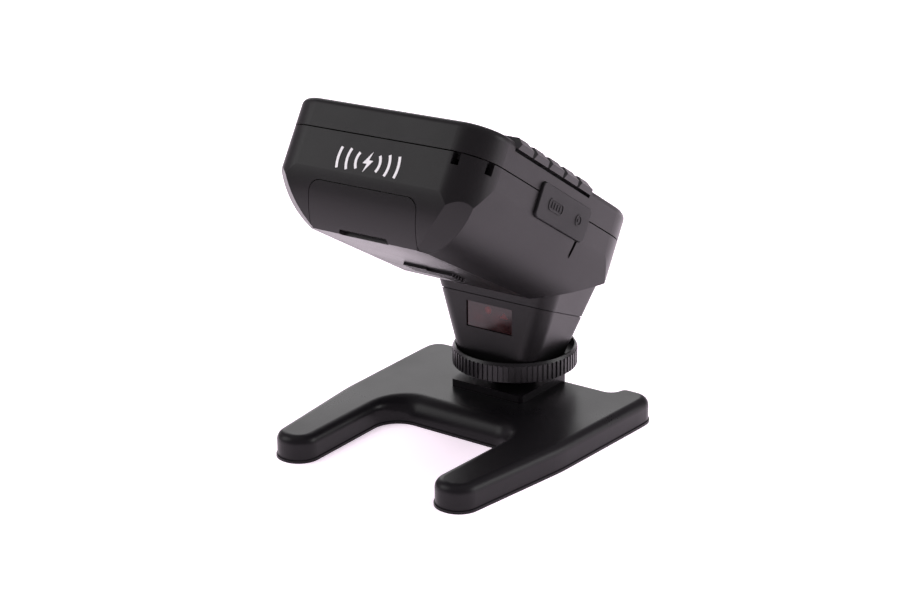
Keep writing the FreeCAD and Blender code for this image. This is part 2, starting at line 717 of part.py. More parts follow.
node("lcd_frame", "case", box("lcd_tray", (lens_x - 23, lens_x + 23), (12.4, 57.8), (key_board_top, 5.2)))
node("lcd_glass", "case", box("lcd_pane", (lens_x - 22.4, lens_x + 22.4), (12.8, 57.4), (5.2, 6.8)))
node("display_lens", "case", rounded(
    "lens", box("lens_block", (lens_x - lens_half + 0.15, lens_x + lens_half - 0.15),
                (lens_front + 0.15, lens_rear - 0.15), (cover_top - lens_t, cover_top)),
    (1.2, lambda spot, way: upright(way))))
node("group_key_mat", "case", box("group_mat", (24.6, 32.4), (13.5, 59.4), (key_board_top, 4.9)))
node("key_mat", "case", box("small_mat", (-1, 24.4), (70.4, 87.8), (key_board_top, 4.9)))
node("function_key_mat", "case", box("function_mat", (-29.6, 21.4), (62.4, 68.8), (key_board_top, 4.9)))
node("status_lens", "case", rod("lamp", 1.15, 3.2, *lamp_place, cover_top - 3.1))

cell_x = cell_r + 0.35
for label, side in (("battery_left", -1), ("battery_right", 1)):
    nub_v = cell_v - 1.2 if side < 0 else cell_v + cell_l
    node(label, "case", fuse(
        f"{label}_solid", rod(f"{label}_can", cell_r, cell_l, side * cell_x, cell_v, -cell_n, "y"),
        rod(f"{label}_nub", 2.75, 1.2, side * cell_x, nub_v, -cell_n, "y")))
spring_l = 2.6
springs = []
for number, (side, v, wide, slim) in enumerate(((-1, cell_v + cell_l, 3, 5), (1, cell_v - spring_l, 5, 3))):
    springs.append(cut(
        f"spring_{number}", taper(f"coil_{number}", wide, slim, spring_l, side * cell_x, v, -cell_n, "y"),
        taper(f"coil_bore_{number}", wide - 0.8, slim - 0.8, spring_l, side * cell_x, v, -cell_n, "y")))
node("battery_springs", "case", group("spring_group", *springs))
plates = [box(f"plate_{number}", (side * cell_x - 5, side * cell_x + 5), (v, v + 0.4),
              (-cell_n - 2.5, -cell_n + 5))
          for number, (side, v) in enumerate((
              (-1, cell_v - 1.7), (1, cell_v - spring_l - 0.4),
              (-1, cell_v + cell_l + spring_l), (1, cell_v + cell_l + 1.3)))]
node("battery_contacts", "case", group("plate_group", *plates))
cradle_out, cradle_in = 16.2, 15.2
node("battery_cradle", "case", fuse(
    "cradle", box("cradle_roof", (-cradle_out, cradle_out), (5.4, 61.6), (-9, -8)),
    box("cradle_left", (-cradle_out, -cradle_in), (5.4, 61.6), (-18, -8.5)),
    box("cradle_right", (cradle_in, cradle_out), (5.4, 61.6), (-18, -8.5)),
    box("cradle_rear", (-cradle_out, cradle_out), (60.6, 61.6), (-20, -8.5))))
screw_shaft, screw_head = 0.94, 2.1
node("case_screws", "case", group("case_screw_group", *[
    fuse(f"case_screw_{number}", rod(f"case_shaft_{number}", screw_shaft, 11.4, x, v, -6),
         rod(f"case_head_{number}", screw_head, 1.6, x, v, -7.25))
    for number, (x, v) in enumerate(case_pillars)]))

# --- neck, lock ring and foot -----------------------------------------------------------

boss_low = 11.2
neck_solid = common("neck_solid", neck("foot_neck", 0),
                    tilted_side("foot_seam", *neck_seam, -40, -neck_gap))
collar_half = collar_w / 2
boss = fuse("boss", rod("boss_rod", boss_r, 9, 0, 0, boss_low),
            box("collar", (-collar_half, collar_half), (-collar_half, collar_half),
                (foot_z + foot_t, boss_low + 0.4)))
cavity = common("neck_cavity", neck("cavity_neck", neck_wall),
                box("cavity_space", (-30, 30), (-30, 30), (neck_low_z + neck_wall, 60)))
window_hole = box("window_hole", (-window_half - 0.15, window_half + 0.15),
                  (-neck_front - 1, 3 - neck_front), (window_low - 0.15, window_high + 0.15))
pin_y = 4.2
foot_screw_places = [(x, y) for x in (-4.5, 4.5) for y in (-4.5, 4.5)]
contact_places = [(0, 0), (-2.2, -3.3), (2.2, -3.3), (-3.6, 0.2), (3.6, 0.2)]
pin_hole = rod("pin_hole", pin_r + 0.08, 14, 0, pin_y, 5)
pin_chamber = rod("pin_chamber", 2.1, 9, 0, pin_y, 12.2)
wire_hole = rod("wire_hole", 1.6, 14, 0, -2.2, 9.4)
collar_holes = [rod(f"collar_hole_{number}", 0.85, 3, x, y, foot_z + foot_t - 0.5)
                for number, (x, y) in enumerate(foot_screw_places)]
neck_lip = cut(
    "neck_lip", fuse(
        "neck_lip_bands",
        common("neck_bead", neck("bead", 0.5), tilted_side("bead_band", *neck_seam, -0.6, -0.03)),
        common("neck_lip_root", neck("lip_root", neck_wall - 0.3),
               tilted_side("lip_root_band", *neck_seam, -3, -0.6)),
        common("neck_lip_tip", neck("lip_tip", neck_wall + 0.15),
               tilted_side("lip_tip_band", *neck_seam, -3, 1.6))),
    neck("lip_inside", neck_wall + 1),
    box("lip_window_gap", (-window_half - 1, window_half + 1), (-20, -8), (30, window_high + 0.6)))
node("neck_housing", "neck", fuse("neck_with_lip", cut(
    "neck_cut", fuse("neck_body", neck_solid, boss), cavity, window_hole, pin_hole, pin_chamber,
    wire_hole, *collar_holes), neck_lip))
node("af_window", "neck", fuse(
    "window_solid",
    box("window_pane", (-window_half, window_half), (0.45 - neck_front, 2.35 - neck_front),
        (window_low, window_high)),
    box("window_flange", (-window_half - 0.7, window_half + 0.7), (2.25 - neck_front, 3 - neck_front),
        (window_low - 0.7, window_high + 0.4))))
node("af_board", "neck", box("lamp_board", (-8, 8), (-8.6, -7.6), (27, 36)))
node("af_emitter", "neck", group("lamp_group", *[
    rod(f"lamp_{number}", 1.5, 2, x, -10.6, 33, "y") for number, x in enumerate((-4, 4))]))

plate_holes = [rod(f"foot_hole_{number}", 0.95, 4, x, y, foot_z - 1)
               for number, (x, y) in enumerate(foot_screw_places)]
plate_sinks = [rod(f"foot_sink_{number}", 1.55, 1, x, y, foot_z - 0.1)
               for number, (x, y) in enumerate(foot_screw_places)]
contact_holes = [rod(f"contact_hole_{number}", 1.15 if number == 0 else 0.7, 4, x, y, foot_z - 1)
                 for number, (x, y) in enumerate(contact_places)]
foot_block = rounded("foot_block", box("foot_plain", (-foot_w / 2, foot_w / 2),
                                       (-foot_l / 2, foot_l / 2), (foot_z, foot_z + foot_t)),
                     (1, lambda spot, way: upright(way)))
node("foot_plate", "neck", cut("foot_cut", foot_block, *plate_holes, *plate_sinks, *contact_holes,
                               rod("foot_pin_hole", pin_r + 0.08, 4, 0, pin_y, foot_z - 1)))
node("foot_screws", "neck", group("foot_screw_group", *[
    fuse(f"foot_screw_{number}", rod(f"foot_shaft_{number}", 0.8, 4, x, y, foot_z + 0.3),
         rod(f"foot_head_{number}", 1.45, 0.7, x, y, foot_z + 0.1))
    for number, (x, y) in enumerate(foot_screw_places)]))
node("contact_pins", "neck", group("contact_group", *[
    rod(f"contact_{number}", 1.1 if number == 0 else 0.65, 1.9, x, y, foot_z - 0.05)
    for number, (x, y) in enumerate(contact_places)]))
node("lock_pin", "neck", fuse("pin_solid", rod("pin", pin_r, 8, 0, pin_y, foot_z + 0.1),
                              rod("pin_flange", 1.7, 1, 0, pin_y, 14.4)))

ring_body = grooved("ring_body", [
    (ring_bore, ring_low), (ring_foot_r, ring_low), (ring_r, ring_chamfer_z),
    (ring_r, ring_high - 1), (ring_r - 0.6, ring_high), (ring_cup_r, ring_high),
    (ring_cup_r, ring_floor), (ring_bore, ring_floor)],
    ring_teeth, ring_r, 0.45, 0.8, ring_high - 0.8, False)
node("lock_ring", "neck", ring_body)

# --- the stand ----------------------------------------------------------------------------

def rounded_corners(corners):
    """Turns (x, y, radius) corners into the lines and arcs that outline() takes."""
    path = []
    spots = [FreeCAD.Vector(size(x).value, size(y).value, 0) for x, y, radius in corners]
    for number, (_, _, radius) in enumerate(corners):
        here, radius = spots[number], size(radius).value
        before = (here - spots[number - 1]).normalize()
        after = (spots[(number + 1) % len(spots)] - here).normalize()
        turn = math.atan2(before.x * after.y - before.y * after.x, before.dot(after))
        reach = radius * math.tan(abs(turn) / 2)
        start, end = here - before * reach, here + after * reach
        path += [(start.x, start.y, math.copysign(radius, turn)), (end.x, end.y)]
    return path


def stand_slab(name, grow, low, high):
    """The stand's outline with rounded corners, grown outwards by grow."""
    half = [
        (gap_x - grow, -gap_y - grow, 9 - grow), (leg_in_x - grow, -leg_tip_y - grow, 6.4 + grow),
        (leg_out_x + grow, -leg_tip_y - grow, 6.4 + grow), (bow_x + grow, -bow_y, 60),
        (hub_half + grow, hub_y, 60), (hub_half + grow, toe_rear_y + grow, 6 + grow),
        (toe_in_x - grow, toe_rear_y + grow, 3.2 + grow),
        (toe_in_x - 1 - grow, hub_rear_y + grow, 2.6 - grow)]
    corners = half + [(-x, y, radius) for x, y, radius in reversed(half)]
    return extrude(name, outline(name + "_shape", "xy", rounded_corners(corners)), low, high)


def stand_edge(base):
    """The stand's top edge, fuller along the hub's front and blending in over its corners."""
    doc.recompute()
    edged = doc.addObject("Part::Fillet", "stand_body")
    edged.Base = base
    picks = []
    for number, edge in enumerate(base.Shape.Edges, 1):
        middle = edge.valueAt((edge.FirstParameter + edge.LastParameter) / 2)
        if abs(middle.z - stand_top.value) > 1e-3:
            continue
        ends = [edge.valueAt(edge.FirstParameter), edge.valueAt(edge.LastParameter)]
        picks.append((number, *[
            (hub_round if on_hub_front(end) else stand_round).value for end in ends]))
    edged.Edges = picks
    return edged


def on_hub_front(spot):
    return abs(spot.y + gap_y.value) < 1e-3 and abs(spot.x) < gap_x.value


stand_body = stand_edge(stand_slab("stand_block", 0, 0, stand_top))
stand_lip = stand_slab("stand_lip", lip_grow, 0, lip_h)
shoe_block = rounded(
    "shoe_block", box("shoe_plain", (-shoe_half, shoe_half), (-shoe_front, shoe_rear), (4, shoe_top)),
    (1.6, lambda spot, way: upright(way)))
slot_half = foot_w / 2 + shoe_clear
slot_front = -foot_l / 2 - 0.4
foot_slot = box("foot_slot", (-slot_half, slot_half), (slot_front, 60),
                (foot_z - 0.25, shoe_top - shoe_lip))
neck_slot = box("neck_slot", (-collar_half - 0.35, collar_half + 0.35), (-collar_half - 1.4, 60),
                (foot_z, shoe_top + 5))
pin_groove = box("pin_groove", (-1.6, 1.6), (pin_y - 1.8, 60), (foot_z - 1.7, foot_z))
hollow = common("hollow", stand_slab("hollow_block", -stand_wall, -1, stand_top - 2.4),
                box("hollow_space", (-60, 60), (-90, 30), (-1, 4)))
ribs = [box(f"rib_{number}", (-50, 50), (y - 0.7, y + 0.7), (0, 6))
        for number, y in enumerate((-62, -46, -31))]
ribs += [box(f"rib_side_{number}", (x - 0.7, x + 0.7), (-34, 12), (0, 6))
         for number, x in enumerate((-22, 22))]
hub_boss = rod("hub_boss", 9, 5, 0, 0, 0)
stand_hollow = cut("stand_hollow", hollow, hub_boss, *ribs)
insert_hole = rod("insert_hole", insert_r, insert_l + 0.1, 0, -10, -0.1)
insert_boss = rod("insert_boss", insert_r + 2, stand_top - 1, 0, -10, 0)
node("stand_base", "neck", cut(
    "stand_cut", fuse("stand_solid", stand_body, stand_lip, shoe_block), foot_slot, neck_slot,
    pin_groove, cut("stand_space", stand_hollow, insert_boss), insert_hole))
node("tripod_insert", "neck", cut("insert_cut", rod("insert_rod", insert_r - 0.02, insert_l, 0, -10, 0),
                                  rod("insert_bore", thread_r, insert_l + 2, 0, -10, -1)))

# --- check and write ----------------------------------------------------------------------

doc.recompute()
failed = [item.Name for item in doc.Objects
          if "Invalid" in item.State or "Error" in item.State]
if failed:
    raise SystemExit(f"failed: {failed}")
for piece in nodes:
    shape = piece.Shape
    if shape.isNull() or not shape.isValid() or not shape.Solids:
        raise SystemExit(f"{piece.Label} is not a valid solid")
for piece in nodes:
    piece.Shape.exportStep(f"parts/{piece.Label}.step")
    print(f"{piece.Label}: {len(piece.Shape.Solids)} solids, {piece.Shape.Volume:.0f} mm3")
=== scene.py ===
import bmesh
import bpy
import json
import math
import numpy as np
from mathutils import Matrix, Vector


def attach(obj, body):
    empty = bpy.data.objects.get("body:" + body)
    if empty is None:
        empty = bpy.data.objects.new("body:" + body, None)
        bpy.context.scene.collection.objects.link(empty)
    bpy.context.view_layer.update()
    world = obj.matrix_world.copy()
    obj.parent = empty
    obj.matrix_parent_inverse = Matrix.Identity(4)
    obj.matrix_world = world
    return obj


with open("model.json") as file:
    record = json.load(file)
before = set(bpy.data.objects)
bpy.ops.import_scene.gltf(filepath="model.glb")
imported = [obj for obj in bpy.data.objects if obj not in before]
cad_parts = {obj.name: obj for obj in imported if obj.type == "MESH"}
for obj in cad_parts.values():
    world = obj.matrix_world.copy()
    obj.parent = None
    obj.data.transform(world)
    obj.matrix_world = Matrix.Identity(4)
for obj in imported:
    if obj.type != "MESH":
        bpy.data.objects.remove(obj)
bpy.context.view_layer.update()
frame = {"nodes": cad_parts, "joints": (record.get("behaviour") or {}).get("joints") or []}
nodes = frame["nodes"]
jointOf = {joint["name"]: joint for joint in frame["joints"]}
mm = 0.001
print("frame loaded")


# The head's own axes: x across, v from its high end down to the rear, n out of its face
caseX = Vector((1, 0, 0))
caseN = Vector(jointOf["dial_spin"]["axis"]).normalized()
caseV = -Vector(jointOf["door_slide"]["axis"]).normalized()
flapHinge = {"x": 36.0, "v": 32.8, "n": -1.75}      # where the port cover turns, in those axes
caseOrigin = (Vector(jointOf["port_flap_hinge"]["pos_m"]) - caseX * flapHinge["x"] * mm
              - caseV * flapHinge["v"] * mm - caseN * flapHinge["n"] * mm)
axisPlace = Vector(jointOf["ring_turn"]["pos_m"])
axisPlace.z = 0
caseAxes = np.array([caseX, caseV, caseN])


def fromCase(points):
    # head coordinates in millimetres to metres in the row's frame: origin + x X + v V + n N
    return np.asarray(points, float) * mm @ caseAxes + np.array(caseOrigin)


def fromAxis(points):
    # millimetres around the foot's axis to metres in the row's frame
    return np.asarray(points, float) * mm + np.array(axisPlace)


# Camera

cameraSpec = {"eye": (0.3112, -0.42052, 0.225), "azimuth": 36.85, "elevation": 19.14,
              "roll": -0.62, "lens": 73.1}


def addCamera(spec):
    azimuth, elevation, roll = (math.radians(spec[k]) for k in ("azimuth", "elevation", "roll"))
    ahead = Vector((-math.sin(azimuth) * math.cos(elevation),
                    math.cos(azimuth) * math.cos(elevation), -math.sin(elevation)))
    level = Vector((math.cos(azimuth), math.sin(azimuth), 0))
    upright = level.cross(ahead)
    right = level * math.cos(roll) + upright * math.sin(roll)
    up = upright * math.cos(roll) - level * math.sin(roll)
    data = bpy.data.cameras.new("camera")
    data.lens, data.sensor_width, data.clip_start = spec["lens"], 36, 0.01
    camera = bpy.data.objects.new("camera", data)
    turn = Matrix((right, up, -ahead)).transposed().to_4x4()
    camera.matrix_world = Matrix.Translation(spec["eye"]) @ turn
    bpy.context.scene.collection.objects.link(camera)
    bpy.context.scene.camera = camera


# Shader building: a Wire is a socket that takes part in sums

class Wire:
    def __init__(self, finish, socket):
        self.finish, self.socket = finish, socket

    def join(self, operation, *others):
        return self.finish.node("ShaderNodeMath", {"operation": operation}, self, *others)[0]

    def __add__(self, other):
        return self.join("ADD", other)

    def __sub__(self, other):
        return self.join("SUBTRACT", other)

    def __mul__(self, other):
        return self.join("MULTIPLY", other)

    def __rsub__(self, other):
        return self.finish.node("ShaderNodeMath", {"operation": "SUBTRACT"}, other, self)[0]

    __radd__, __rmul__ = __add__, __mul__

    def ramp(self, low, high, start=0.0, end=1.0):
        # low..high of this value onto start..end, clamped
        return self.finish.node("ShaderNodeMapRange", {"clamp": True}, self, low, high, start, end)[0]


class Finish:
    def __init__(self, name):
        self.material = bpy.data.materials.new(name)
        self.material.use_nodes = True
        self.tree = self.material.node_tree
        self.shader = self.tree.nodes["Principled BSDF"]
        coordinate = self.tree.nodes.new("ShaderNodeTexCoord")
        self.place = Wire(self, coordinate.outputs["Object"])

    def node(self, kind, settings, *values, **named):
        made = self.tree.nodes.new(kind)
        for key, value in settings.items():
            if key == "stops":
                elements = made.color_ramp.elements
                while len(elements) < len(value):
                    elements.new(0.5)
                for element, (position, colour) in zip(elements, value):
                    element.position, element.color = position, colour
            else:
                setattr(made, key, value)
        targets = list(zip([s for s in made.inputs if s.enabled], values))
        targets += [(made.inputs[key.replace("_", " ")], value) for key, value in named.items()]
        for socket, value in targets:
            if isinstance(value, Wire):
                self.tree.links.new(value.socket, socket)
            elif value is not None:
                socket.default_value = value
        return [Wire(self, s) for s in made.outputs if s.enabled]

    def set(self, **values):
        for key, value in values.items():
            socket = self.shader.inputs[key.replace("_", " ")]
            if isinstance(value, Wire):
                self.tree.links.new(value.socket, socket)
            else:
                socket.default_value = value
        return self

    def noise(self, scale, detail=2.0, roughness=0.5, stretch=None):
        place = self.place
        if stretch:
            place = self.node("ShaderNodeMapping", {}, Vector=place, Scale=stretch)[0]
        return self.node("ShaderNodeTexNoise", {}, Vector=place, Scale=scale, Detail=detail,
                         Roughness=roughness)[0]

    def spread(self, factor, dark, light):
        # a colour between two, by a value from 0 to 1
        return self.node("ShaderNodeValToRGB", {"stops": [(0, (*dark, 1)), (1, (*light, 1))]},
                         factor)[0]

    def bump(self, height, strength, distance):
        normal = self.node("ShaderNodeBump", {}, Strength=strength, Distance=distance,
                           Height=height)[0]
        return self.set(Normal=normal)


def moulded(name, spec):
    # spark-eroded grain as fine bump, with slow changes of sheen and colour over the part
    finish = Finish(name)
    slow = finish.noise(spec.get("mottle", 70), 3)
    fine = finish.noise(spec["grain"], 2, 0.6)
    handled = finish.noise(18, 4, 0.65)
    dust = finish.noise(520, 5, 0.75)
    colour = finish.spread(slow * 0.5 + fine * 0.3 + dust.ramp(0.62, 0.8) * 0.35,
                           spec["dark"], spec["light"])
    sheen = handled.ramp(0.35, 0.7, spec["rough"] - spec["haze"], spec["rough"] + spec["haze"])
    finish.set(Base_Color=colour, Roughness=sheen + (fine - 0.5) * 0.12,
               Specular_IOR_Level=spec["specular"])
    return finish.bump(fine + handled * 0.4, spec["bump"], spec["depth"])


def metal(name, spec):
    # drawn or plated metal: long scratches along one axis and small clouds of tarnish
    finish = Finish(name)
    scratch = finish.noise(spec["scratch"], 3, 0.7, stretch=spec["stretch"])
    cloud = finish.noise(240, 4, 0.6)
    finish.set(Base_Color=finish.spread(cloud * 0.7 + scratch * 0.3, spec["dark"], spec["light"]),
               Roughness=scratch.ramp(0.3, 0.7, spec["rough"] - 0.08, spec["rough"] + 0.08),
               Metallic=1.0)
    return finish.bump(scratch, 0.25, 0.00002)


def board(name, spec):
    # solder resist over copper: cells stand for pours and tracks, dots for vias
    finish = Finish(name)
    tracks = finish.node("ShaderNodeTexVoronoi", {"feature": "DISTANCE_TO_EDGE"},
                         Vector=finish.place, Scale=spec["tracks"])[0]
    vias = finish.node("ShaderNodeTexVoronoi", {}, Vector=finish.place, Scale=spec["vias"])[0]
    pattern = tracks.ramp(0.02, 0.05, 1, 0.25) * 0.7 + vias.ramp(0.1, 0.14, 0.3, 0)
    finish.set(Base_Color=finish.spread(pattern, spec["dark"], spec["light"]),
               Roughness=tracks.ramp(0, 0.1, 0.28, 0.4), Specular_IOR_Level=0.5)
    return finish.bump(tracks.ramp(0.02, 0.05), 0.3, 0.00003)


def redWindow(spec):
    # deep red acrylic; the lamps and the board behind are painted light in its colour: soft spots of
    # painted glow and a small painted lit wedge
    finish = Finish("window_acrylic")
    x, _, z = finish.node("ShaderNodeSeparateXYZ", {}, finish.place)
    glow = None
    # painted glow: each spot adds a soft brighter red patch where a lamp sits behind the window
    for across, up, radius, weight in spec["spots"]:
        spot = fromAxis((across, 0, up))
        aside, above = x - spot[0], z - spot[2]
        painted_spot_patch = (aside * aside + above * above).ramp(0, (radius * mm) ** 2, weight, 0)
        glow = painted_spot_patch if glow is None else glow + painted_spot_patch
    # painted light: a small brighter wedge standing for the lit board behind the window
    wedge = fromAxis((spec["wedge"][0], 0, spec["wedge"][1]))
    slope = (x - wedge[0]).join("ABSOLUTE") * spec["wedge_slope"] + (z - wedge[2])
    painted_wedge = slope.ramp(*spec["wedge_edge"], 1, 0) * (z - wedge[2]).ramp(*spec["wedge_foot"])
    cloud = finish.noise(260, 4, 0.6)
    finish.set(Base_Color=finish.spread(glow + painted_wedge * spec["painted_wedge_brightness"] + cloud * 0.05,
                                        spec["dark"], spec["light"]),
               Roughness=cloud.ramp(0.3, 0.7, 0.07, 0.16), Specular_IOR_Level=0.45)
    return finish.bump(cloud, 0.1, 0.00002)


def wrapped(name, spec):
    # a battery's printed sleeve: bands along its length, a crimped edge and a bare steel end
    finish = Finish(name)
    along = finish.node("ShaderNodeVectorMath", {"operation": "DOT_PRODUCT"},
                        finish.place, tuple(caseV))[0]
    start = float(np.dot(fromCase((0, spec["start"], 0)), np.array(caseV)))
    band = (along - start).ramp(spec["band"] * mm, (spec["band"] + 0.2) * mm)
    cloud = finish.noise(300, 3)
    finish.set(Base_Color=finish.spread(band * 0.85 + cloud * 0.1, spec["dark"], spec["light"]),
               Roughness=cloud.ramp(0.3, 0.7, 0.2, 0.32), Metallic=band * 0.85)
    return finish.bump(cloud, 0.15, 0.00003)


def clearPlastic(name, spec):
    finish = Finish(name)
    haze = finish.noise(900, 4, 0.7)
    finish.set(Base_Color=finish.spread(haze, spec["dark"], spec["light"]),
               Roughness=haze.ramp(0.45, 0.8, spec["rough"], spec["rough"] + 0.06),
               Alpha=haze.ramp(0.4, 0.8, spec["veil"], spec["veil"] + 0.06), IOR=1.49)
    return finish.bump(haze, 0.06, 0.00001)


plasticSpecs = {
    "case_skin": {"dark": (0.0035, 0.0033, 0.0035), "light": (0.0095, 0.0088, 0.0095), "rough": 0.40,
                  "haze": 0.05, "grain": 3000, "specular": 0.25, "bump": 0.35, "depth": 0.00006},
    "stand_skin": {"dark": (0.005, 0.0045, 0.0055), "light": (0.012, 0.011, 0.0125), "rough": 0.33,
                   "haze": 0.05, "grain": 2200, "specular": 0.18, "bump": 0.25, "depth": 0.00004},
    "ring_skin": {"dark": (0.005, 0.005, 0.0055), "light": (0.013, 0.0125, 0.0135), "rough": 0.38,
                  "haze": 0.06, "grain": 3400, "specular": 0.4, "bump": 0.3, "depth": 0.00004},
    "key_skin": {"dark": (0.004, 0.004, 0.0045), "light": (0.011, 0.0105, 0.0115), "rough": 0.36,
                 "haze": 0.06, "grain": 3800, "specular": 0.35, "bump": 0.3, "depth": 0.00004},
    "flap_skin": {"dark": (0.006, 0.006, 0.0065), "light": (0.014, 0.0135, 0.0145), "rough": 0.58,
                  "haze": 0.05, "grain": 4200, "specular": 0.3, "bump": 0.4, "depth": 0.00005},
    "mat_skin": {"dark": (0.03, 0.03, 0.032), "light": (0.06, 0.06, 0.064), "rough": 0.62,
                 "haze": 0.04, "grain": 3000, "specular": 0.35, "bump": 0.3, "depth": 0.00005},
    "epoxy_skin": {"dark": (0.008, 0.008, 0.008), "light": (0.022, 0.022, 0.022), "rough": 0.5,
                   "haze": 0.05, "grain": 5200, "specular": 0.4, "bump": 0.3, "depth": 0.00003},
    "panel_skin": {"dark": (0.14, 0.165, 0.12), "light": (0.19, 0.22, 0.165), "rough": 0.3,
                   "haze": 0.04, "grain": 2600, "specular": 0.5, "bump": 0.08, "depth": 0.00001},
    "tray_skin": {"dark": (0.55, 0.55, 0.54), "light": (0.72, 0.72, 0.7), "rough": 0.45,
                  "haze": 0.05, "grain": 2400, "specular": 0.5, "bump": 0.2, "depth": 0.00003},
    "print_ink": {"dark": (0.62, 0.62, 0.62), "light": (0.86, 0.86, 0.86), "rough": 0.5,
                  "haze": 0.06, "grain": 4200, "specular": 0.4, "bump": 0.25, "depth": 0.00002},
    "screen_ink": {"dark": (0.006, 0.007, 0.006), "light": (0.012, 0.014, 0.012), "rough": 0.4,
                   "haze": 0.04, "grain": 4000, "specular": 0.3, "bump": 0.1, "depth": 0.00001},
}
metalSpecs = {
    "steel_plate": {"dark": (0.45, 0.45, 0.44), "light": (0.66, 0.66, 0.65), "rough": 0.3,
                    "scratch": 900, "stretch": (1, 6, 1)},
    "foot_steel": {"dark": (0.36, 0.36, 0.365), "light": (0.58, 0.58, 0.585), "rough": 0.34,
                   "scratch": 1100, "stretch": (6, 1, 1)},
    "brass_turned": {"dark": (0.42, 0.28, 0.1), "light": (0.66, 0.47, 0.2), "rough": 0.3,
                     "scratch": 1000, "stretch": (1, 1, 5)},
}
boardSpec = {"dark": (0.004, 0.03, 0.012), "light": (0.02, 0.11, 0.04), "tracks": 260, "vias": 420}
# the window's spots and wedge are painted light: the lamps and board behind, drawn into its colour
windowSpec = {"dark": (0.006, 0.0012, 0.0015), "light": (0.4, 0.015, 0.012), "wedge": (5.4, 36.0),
              "wedge_slope": 1.3, "painted_wedge_brightness": 0.12, "wedge_edge": (-0.0002, 0.0001),
              "wedge_foot": (-0.0022, -0.0020),
              "spots": [(-0.6, 35.6, 1.5, 0.22), (3.4, 33.4, 3.0, 0.04), (-4, 33, 2.4, 0.03)]}
sleeveSpec = {"dark": (0.012, 0.012, 0.014), "light": (0.62, 0.4, 0.2), "start": 8.4, "band": 34}
lensSpec = {"dark": (0.03, 0.032, 0.033), "light": (0.06, 0.062, 0.064), "rough": 0.03, "veil": 0.14}
lampSpec = {"dark": (0.4, 0.05, 0.04), "light": (0.55, 0.09, 0.07), "rough": 0.06, "veil": 0.85}

finishes = {name: moulded(name, spec) for name, spec in plasticSpecs.items()}
finishes.update({name: metal(name, spec) for name, spec in metalSpecs.items()})
finishes["board_resist"] = board("board_resist", boardSpec)
finishes["window_acrylic"] = redWindow(windowSpec)
finishes["battery_sleeve"] = wrapped("battery_sleeve", sleeveSpec)
finishes["lens_acrylic"] = clearPlastic("lens_acrylic", lensSpec)
finishes["lamp_acrylic"] = clearPlastic("lamp_acrylic", lampSpec)

wearers = {
    "case_skin": "lower_shell upper_cover battery_door neck_housing battery_cradle lcd_frame",
    "stand_skin": "stand_base",
    "ring_skin": "lock_ring select_dial",
    "key_skin": "mode_key zoom_key convert_key test_key set_key power_switch af_switch"
                + "".join(f" function_key_{i}" for i in range(1, 5))
                + "".join(f" group_key_{i}" for i in range(1, 6)),
    "flap_skin": "port_cover",
    "mat_skin": "group_key_mat key_mat function_key_mat",
    "epoxy_skin": "processor buzzer switch_bodies sync_jack",
    "panel_skin": "lcd_glass",
    "tray_skin": "antenna_strip",
    "steel_plate": "rf_shield usb_socket dial_encoder battery_springs battery_contacts case_screws",
    "foot_steel": "foot_plate foot_screws lock_pin",
    "brass_turned": "contact_pins tripod_insert",
    "board_resist": "main_board key_board af_board",
    "window_acrylic": "af_window",
    "lens_acrylic": "display_lens",
    "lamp_acrylic": "status_lens af_emitter",
    "battery_sleeve": "battery_left battery_right",
}
for finish, wearing in wearers.items():
    for node in wearing.split():
        mesh = nodes[node].data
        mesh.materials.clear()
        mesh.materials.append(finishes[finish].material)
print("finishes on the CAD nodes:", sum(len(w.split()) for w in wearers.values()), "of", len(nodes))


# Raised marks: shapes in a face's own plane, (a, b) in millimetres, then a height

def ringFaces(rings, sides, closed):
    # quads that join each ring of points to the next one, and the last to the first if closed
    ring = np.arange(rings if closed else rings - 1)[:, None]
    side = np.arange(sides)[None, :]
    here, there = ring * sides, (ring + 1) % rings * sides
    turn = (side + 1) % sides
    return np.stack([here + side, here + turn, there + turn, there + side], 2).reshape(-1, 4).tolist()


def stroke(path, width, height, closed=False):
    # a bar of rectangular section: the path moved to both sides by half the width over the
    # cosine of half its turn, at the bottom and at the top
    path = np.asarray(path, float)
    ahead, behind = np.roll(path, -1, 0) - path, path - np.roll(path, 1, 0)
    if not closed:
        ahead[-1], behind[0] = behind[-1], ahead[0]
    ahead, behind = (way / np.linalg.norm(way, axis=1)[:, None] for way in (ahead, behind))
    middle = ahead + behind
    middle /= np.linalg.norm(middle, axis=1)[:, None]
    reach = width / 2 / (middle * ahead).sum(1)
    aside = np.c_[-middle[:, 1], middle[:, 0]] * reach[:, None]
    low, high = np.zeros(len(path)), np.full(len(path), height)
    rings = np.stack([np.c_[path + aside, low], np.c_[path + aside, high],
                      np.c_[path - aside, high], np.c_[path - aside, low]], 1)
    last = (len(path) - 1) * 4
    caps = [] if closed else [[0, 3, 2, 1], [last, last + 1, last + 2, last + 3]]
    return rings.reshape(-1, 3), ringFaces(len(path), 4, closed) + caps


def plate(corners, height):
    # a flat prism: the corners at the bottom and again at the top
    corners, count = np.asarray(corners, float), len(corners)
    points = np.vstack([np.c_[corners, np.zeros(count)], np.c_[corners, np.full(count, height)]])
    ends = [list(range(count)), list(range(count, 2 * count))]
    return points, ends + ringFaces(2, count, False)


def arc(centre, radius, start, end, count=17):
    # centre + radius (cos, sin) of angles in degrees from start to end
    angles = np.radians(np.linspace(start, end, count))
    return np.c_[centre[0] + radius * np.cos(angles), centre[1] + radius * np.sin(angles)]


def circle(centre, radius, count=24):
    return arc(centre, radius, 0, 360 - 360 / count, count)


def roundedBox(a, b, wide, high, radius):
    # four quarter arcs, one round each corner of a box about (a, b)
    corners = ((1, 1, 0), (-1, 1, 90), (-1, -1, 180), (1, -1, 270))
    return np.vstack([arc((a + right * (wide - radius), b + up * (high - radius)), radius,
                          turn, turn + 90, 6) for right, up, turn in corners])


